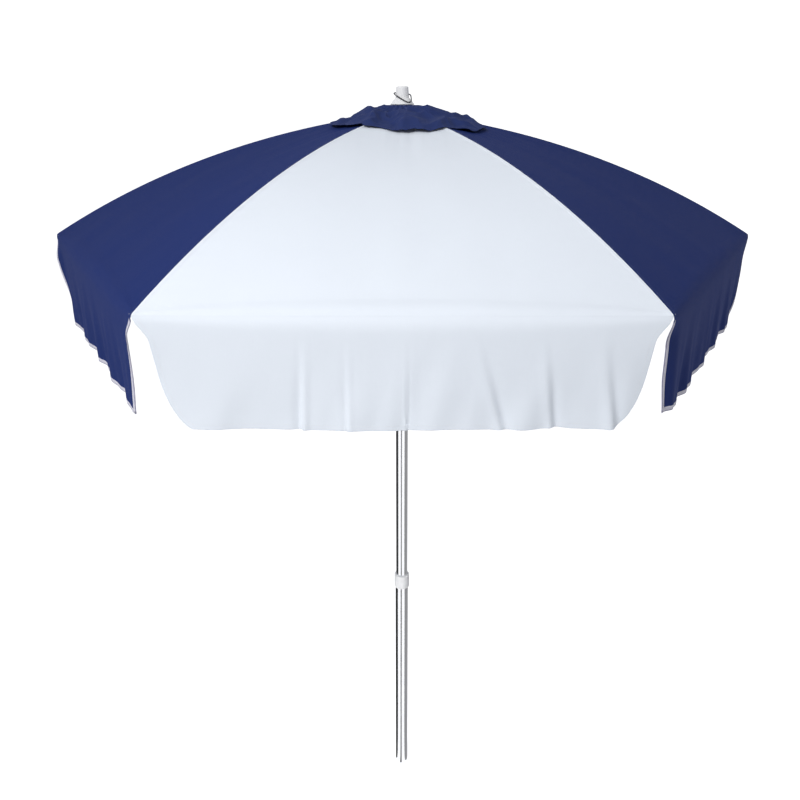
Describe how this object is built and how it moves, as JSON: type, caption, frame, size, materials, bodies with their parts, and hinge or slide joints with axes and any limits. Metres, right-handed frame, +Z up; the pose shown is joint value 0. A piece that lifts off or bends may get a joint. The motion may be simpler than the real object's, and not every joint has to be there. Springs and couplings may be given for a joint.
{
  "type": "patio umbrella",
  "caption": "Garden umbrella with a hexagonal blue and white canopy, valance flaps, wind vent cap and finial on a two-piece aluminium pole; ribs fold on a sliding runner.",
  "frame": {"origin": "centre of the pole's foot", "axes": "+Z up along the pole, +X along the first rib"},
  "size_m": [1.8316, 1.588, 2.216],
  "materials": {
    "pole_aluminium": "polished drawn tube",
    "white_plastic": "moulded, satin",
    "dark_plastic": "moulded, matt",
    "zinc_steel": "zinc plated",
    "brass": "machined",
    "rib_enamel": "white powder coat",
    "white_fabric": "plain-woven canopy cloth",
    "navy_fabric": "plain-woven canopy cloth",
    "cord_black": "braided"
  },
  "bodies": {
    "lower_pole": {"lower_pole_tube": "pole_aluminium", "pole_foot_plug": "dark_plastic", "pole_stop_plug": "dark_plastic", "pole_collar": "white_plastic"},
    "mast": {"upper_pole_tube": "pole_aluminium", "pole_top_plug": "dark_plastic", "top_hub": "white_plastic", "hub_pins": "zinc_steel", "hub_rivets": "zinc_steel", "vent_cap": "navy_fabric", "cap_washer": "white_plastic", "finial_stud": "zinc_steel", "finial": "white_plastic", "finial_cord": "cord_black"},
    "runner": {"runner": "white_plastic", "runner_nut": "brass"},
    "thumb_screw": {"thumb_screw_knob": "dark_plastic", "thumb_screw_stud": "zinc_steel"},
    "rib_1_body": {"rib_1": "rib_enamel", "rib_joint_1": "white_plastic", "rib_tip_1": "white_plastic"},
    "stretcher_1_body": {"stretcher_1": "rib_enamel", "stretcher_pins_1": "zinc_steel"},
    "rib_2_body": {"rib_2": "rib_enamel", "rib_joint_2": "white_plastic", "rib_tip_2": "white_plastic"},
    "stretcher_2_body": {"stretcher_2": "rib_enamel", "stretcher_pins_2": "zinc_steel"},
    "rib_3_body": {"rib_3": "rib_enamel", "rib_joint_3": "white_plastic", "rib_tip_3": "white_plastic"},
    "stretcher_3_body": {"stretcher_3": "rib_enamel", "stretcher_pins_3": "zinc_steel"},
    "rib_4_body": {"rib_4": "rib_enamel", "rib_joint_4": "white_plastic", "rib_tip_4": "white_plastic"},
    "stretcher_4_body": {"stretcher_4": "rib_enamel", "stretcher_pins_4": "zinc_steel"},
    "rib_5_body": {"rib_5": "rib_enamel", "rib_joint_5": "white_plastic", "rib_tip_5": "white_plastic"},
    "stretcher_5_body": {"stretcher_5": "rib_enamel", "stretcher_pins_5": "zinc_steel"},
    "rib_6_body": {"rib_6": "rib_enamel", "rib_joint_6": "white_plastic", "rib_tip_6": "white_plastic"},
    "stretcher_6_body": {"stretcher_6": "rib_enamel", "stretcher_pins_6": "zinc_steel"},
    "panel_1_body": {"canopy_panel_1": "white_fabric"},
    "valance_1_body": {"valance_1": "white_fabric"},
    "panel_2_body": {"canopy_panel_2": "navy_fabric"},
    "valance_2_body": {"valance_2": "navy_fabric"},
    "panel_3_body": {"canopy_panel_3": "white_fabric"},
    "valance_3_body": {"valance_3": "white_fabric"},
    "panel_4_body": {"canopy_panel_4": "navy_fabric"},
    "valance_4_body": {"valance_4": "navy_fabric"},
    "panel_5_body": {"canopy_panel_5": "white_fabric"},
    "valance_5_body": {"valance_5": "white_fabric"},
    "panel_6_body": {"canopy_panel_6": "navy_fabric"},
    "valance_6_body": {"valance_6": "navy_fabric"}
  },
  "joints": [
    {"name": "mast_pull", "type": "slide", "parent": "lower_pole", "child": "mast", "axis": [0, 0, 1], "range_m": [0, 0.14]},
    {"name": "runner_slide", "type": "slide", "parent": "mast", "child": "runner", "axis": [0, 0, 1], "range_m": [-0.7472, 0], "deforming": ["vent_cap"]},
    {"name": "thumb_screw_turn", "type": "hinge", "parent": "runner", "child": "thumb_screw", "pos_m": [0, -0.04, 1.85504], "axis": [0, -1, 0], "range_deg": [0, 360]},
    {"name": "rib_1_fold", "type": "hinge", "parent": "mast", "child": "rib_1_body", "pos_m": [0.028, 0, 2.145], "axis": [0, 1, 0], "range_deg": [0, 70.1]},
    {"name": "stretcher_1_fold", "type": "hinge", "parent": "rib_1_body", "child": "stretcher_1_body", "pos_m": [0.51238, 0, 2.02102], "axis": [0, 1, 0], "range_deg": [-140.1, 0]},
    {"name": "rib_2_fold", "type": "hinge", "parent": "mast", "child": "rib_2_body", "pos_m": [0.014, 0.02425, 2.145], "axis": [-0.866, 0.5, 0], "range_deg": [0, 70.1]},
    {"name": "stretcher_2_fold", "type": "hinge", "parent": "rib_2_body", "child": "stretcher_2_body", "pos_m": [0.25619, 0.44374, 2.02102], "axis": [-0.866, 0.5, 0], "range_deg": [-140.1, 0]},
    {"name": "rib_3_fold", "type": "hinge", "parent": "mast", "child": "rib_3_body", "pos_m": [-0.014, 0.02425, 2.145], "axis": [-0.866, -0.5, 0], "range_deg": [0, 70.1]},
    {"name": "stretcher_3_fold", "type": "hinge", "parent": "rib_3_body", "child": "stretcher_3_body", "pos_m": [-0.25619, 0.44374, 2.02102], "axis": [-0.866, -0.5, 0], "range_deg": [-140.1, 0]},
    {"name": "rib_4_fold", "type": "hinge", "parent": "mast", "child": "rib_4_body", "pos_m": [-0.028, 0, 2.145], "axis": [0, -1, 0], "range_deg": [0, 70.1]},
    {"name": "stretcher_4_fold", "type": "hinge", "parent": "rib_4_body", "child": "stretcher_4_body", "pos_m": [-0.51238, 0, 2.02102], "axis": [0, -1, 0], "range_deg": [-140.1, 0]},
    {"name": "rib_5_fold", "type": "hinge", "parent": "mast", "child": "rib_5_body", "pos_m": [-0.014, -0.02425, 2.145], "axis": [0.866, -0.5, 0], "range_deg": [0, 70.1]},
    {"name": "stretcher_5_fold", "type": "hinge", "parent": "rib_5_body", "child": "stretcher_5_body", "pos_m": [-0.25619, -0.44374, 2.02102], "axis": [0.866, -0.5, 0], "range_deg": [-140.1, 0]},
    {"name": "rib_6_fold", "type": "hinge", "parent": "mast", "child": "rib_6_body", "pos_m": [0.014, -0.02425, 2.145], "axis": [0.866, 0.5, 0], "range_deg": [0, 70.1]},
    {"name": "stretcher_6_fold", "type": "hinge", "parent": "rib_6_body", "child": "stretcher_6_body", "pos_m": [0.25619, -0.44374, 2.02102], "axis": [0.866, 0.5, 0], "range_deg": [-140.1, 0]},
    {"name": "panel_1_fold", "type": "hinge", "parent": "mast", "child": "panel_1_body", "pos_m": [0.021, 0.01212, 2.145], "axis": [-0.5, 0.866, 0], "range_deg": [0, 66.5], "deforming": ["canopy_panel_1"]},
    {"name": "valance_1_hang", "type": "hinge", "parent": "panel_1_body", "child": "valance_1_body", "pos_m": [0.68655, 0.39638, 1.85306], "axis": [-0.5, 0.866, 0], "range_deg": [-66.5, 0], "deforming": ["valance_1"]},
    {"name": "panel_2_fold", "type": "hinge", "parent": "mast", "child": "panel_2_body", "pos_m": [0, 0.02425, 2.145], "axis": [-1, 0, 0], "range_deg": [0, 66.5], "deforming": ["canopy_panel_2"]},
    {"name": "valance_2_hang", "type": "hinge", "parent": "panel_2_body", "child": "valance_2_body", "pos_m": [0, 0.79276, 1.85306], "axis": [-1, 0, 0], "range_deg": [-66.5, 0], "deforming": ["valance_2"]},
    {"name": "panel_3_fold", "type": "hinge", "parent": "mast", "child": "panel_3_body", "pos_m": [-0.021, 0.01212, 2.145], "axis": [-0.5, -0.866, 0], "range_deg": [0, 66.5], "deforming": ["canopy_panel_3"]},
    {"name": "valance_3_hang", "type": "hinge", "parent": "panel_3_body", "child": "valance_3_body", "pos_m": [-0.68655, 0.39638, 1.85306], "axis": [-0.5, -0.866, 0], "range_deg": [-66.5, 0], "deforming": ["valance_3"]},
    {"name": "panel_4_fold", "type": "hinge", "parent": "mast", "child": "panel_4_body", "pos_m": [-0.021, -0.01212, 2.145], "axis": [0.5, -0.866, 0], "range_deg": [0, 66.5], "deforming": ["canopy_panel_4"]},
    {"name": "valance_4_hang", "type": "hinge", "parent": "panel_4_body", "child": "valance_4_body", "pos_m": [-0.68655, -0.39638, 1.85306], "axis": [0.5, -0.866, 0], "range_deg": [-66.5, 0], "deforming": ["valance_4"]},
    {"name": "panel_5_fold", "type": "hinge", "parent": "mast", "child": "panel_5_body", "pos_m": [0, -0.02425, 2.145], "axis": [1, 0, 0], "range_deg": [0, 66.5], "deforming": ["canopy_panel_5"]},
    {"name": "valance_5_hang", "type": "hinge", "parent": "panel_5_body", "child": "valance_5_body", "pos_m": [0, -0.79276, 1.85306], "axis": [1, 0, 0], "range_deg": [-66.5, 0], "deforming": ["valance_5"]},
    {"name": "panel_6_fold", "type": "hinge", "parent": "mast", "child": "panel_6_body", "pos_m": [0.021, -0.01212, 2.145], "axis": [0.5, 0.866, 0], "range_deg": [0, 66.5], "deforming": ["canopy_panel_6"]},
    {"name": "valance_6_hang", "type": "hinge", "parent": "panel_6_body", "child": "valance_6_body", "pos_m": [0.68655, -0.39638, 1.85306], "axis": [0.5, 0.866, 0], "range_deg": [-66.5, 0], "deforming": ["valance_6"]}
  ],
  "couplings": [
    {"joint": "rib_1_fold", "follows": "runner_slide", "rad_per_m": -1.6351},
    {"joint": "stretcher_1_fold", "follows": "runner_slide", "rad_per_m": 3.2702},
    {"joint": "rib_2_fold", "follows": "runner_slide", "rad_per_m": -1.6351},
    {"joint": "stretcher_2_fold", "follows": "runner_slide", "rad_per_m": 3.2702},
    {"joint": "rib_3_fold", "follows": "runner_slide", "rad_per_m": -1.6351},
    {"joint": "stretcher_3_fold", "follows": "runner_slide", "rad_per_m": 3.2702},
    {"joint": "rib_4_fold", "follows": "runner_slide", "rad_per_m": -1.6351},
    {"joint": "stretcher_4_fold", "follows": "runner_slide", "rad_per_m": 3.2702},
    {"joint": "rib_5_fold", "follows": "runner_slide", "rad_per_m": -1.6351},
    {"joint": "stretcher_5_fold", "follows": "runner_slide", "rad_per_m": 3.2702},
    {"joint": "rib_6_fold", "follows": "runner_slide", "rad_per_m": -1.6351},
    {"joint": "stretcher_6_fold", "follows": "runner_slide", "rad_per_m": 3.2702},
    {"joint": "panel_1_fold", "follows": "runner_slide", "rad_per_m": -1.551},
    {"joint": "valance_1_hang", "follows": "runner_slide", "rad_per_m": 1.551},
    {"joint": "panel_2_fold", "follows": "runner_slide", "rad_per_m": -1.551},
    {"joint": "valance_2_hang", "follows": "runner_slide", "rad_per_m": 1.551},
    {"joint": "panel_3_fold", "follows": "runner_slide", "rad_per_m": -1.551},
    {"joint": "valance_3_hang", "follows": "runner_slide", "rad_per_m": 1.551},
    {"joint": "panel_4_fold", "follows": "runner_slide", "rad_per_m": -1.551},
    {"joint": "valance_4_hang", "follows": "runner_slide", "rad_per_m": 1.551},
    {"joint": "panel_5_fold", "follows": "runner_slide", "rad_per_m": -1.551},
    {"joint": "valance_5_hang", "follows": "runner_slide", "rad_per_m": 1.551},
    {"joint": "panel_6_fold", "follows": "runner_slide", "rad_per_m": -1.551},
    {"joint": "valance_6_hang", "follows": "runner_slide", "rad_per_m": 1.551}
  ]
}
